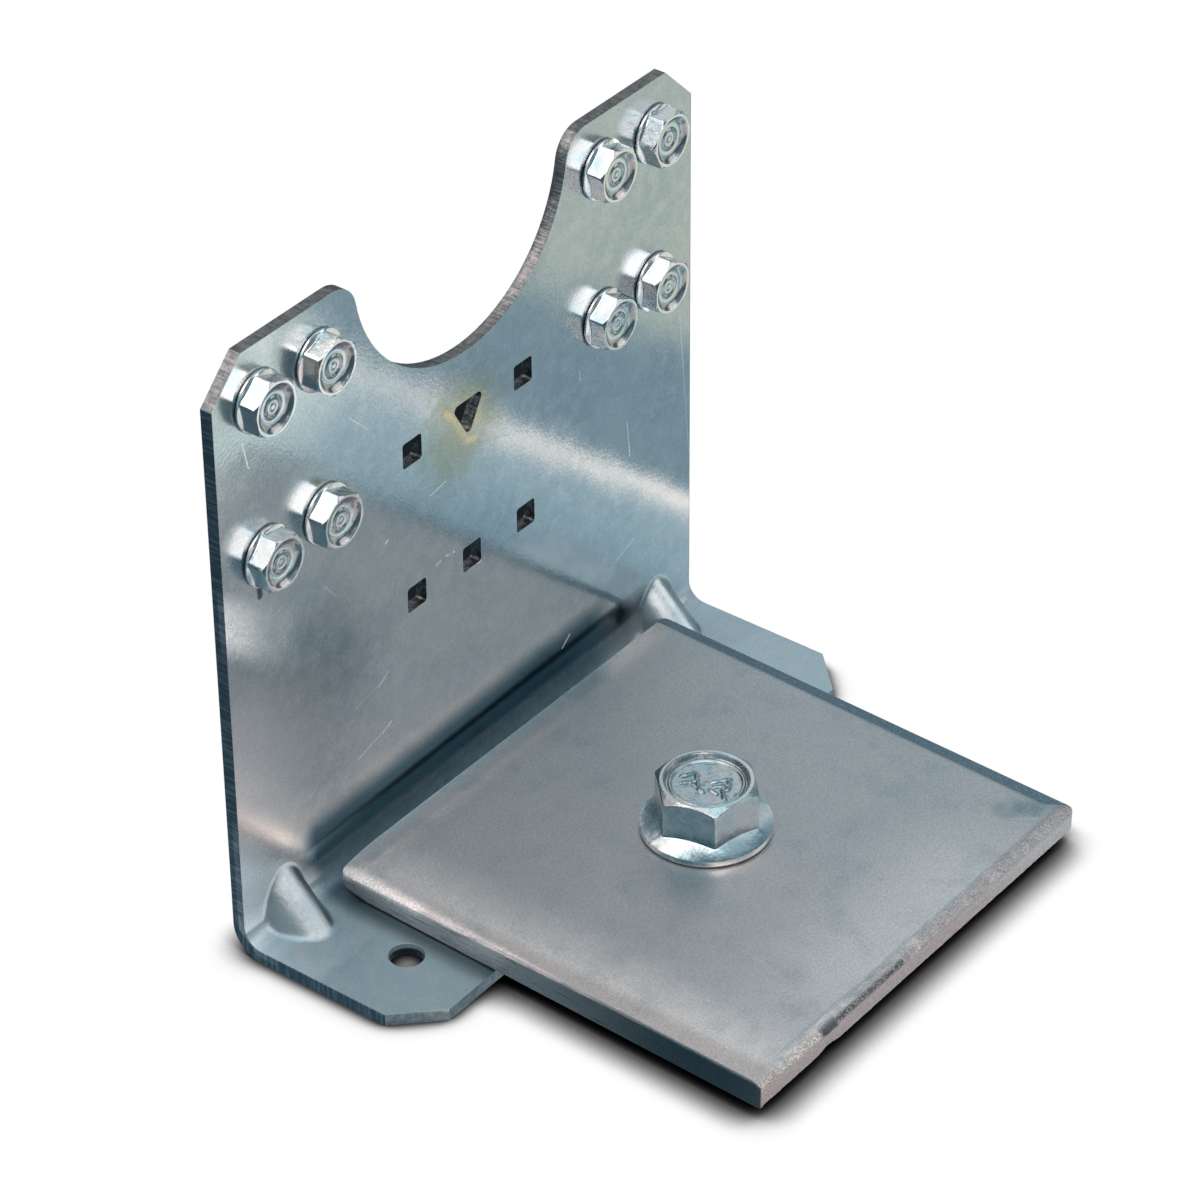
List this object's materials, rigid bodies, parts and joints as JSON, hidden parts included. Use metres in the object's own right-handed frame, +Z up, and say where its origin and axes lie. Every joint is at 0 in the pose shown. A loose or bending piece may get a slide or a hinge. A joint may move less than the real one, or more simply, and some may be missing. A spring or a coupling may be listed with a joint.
{
  "type": "kneewall connector",
  "caption": "Folded steel angle with a notched upright leg, held down by an anchor through a square bearing plate and screwed to a stud by hex head screws.",
  "frame": {"origin": "on the underside of the base, midway between its two small holes", "axes": "+Z up along the leg, +X along the bend, +Y from the base towards the leg and the stud behind it"},
  "size_m": [0.1072, 0.087, 0.1689],
  "materials": {
    "galvanised_sheet": "satin",
    "plate_steel": "satin",
    "anchor_zinc": "bright zinc",
    "screw_zinc": "bright zinc"
  },
  "bodies": {
    "root": {"angle_bracket": "galvanised_sheet", "bearing_plate": "plate_steel", "anchor_screw": "anchor_zinc", "stud_screw_1": "screw_zinc", "stud_screw_2": "screw_zinc", "stud_screw_3": "screw_zinc", "stud_screw_4": "screw_zinc", "stud_screw_5": "screw_zinc", "stud_screw_6": "screw_zinc", "stud_screw_7": "screw_zinc", "stud_screw_8": "screw_zinc"}
  },
  "joints": []
}
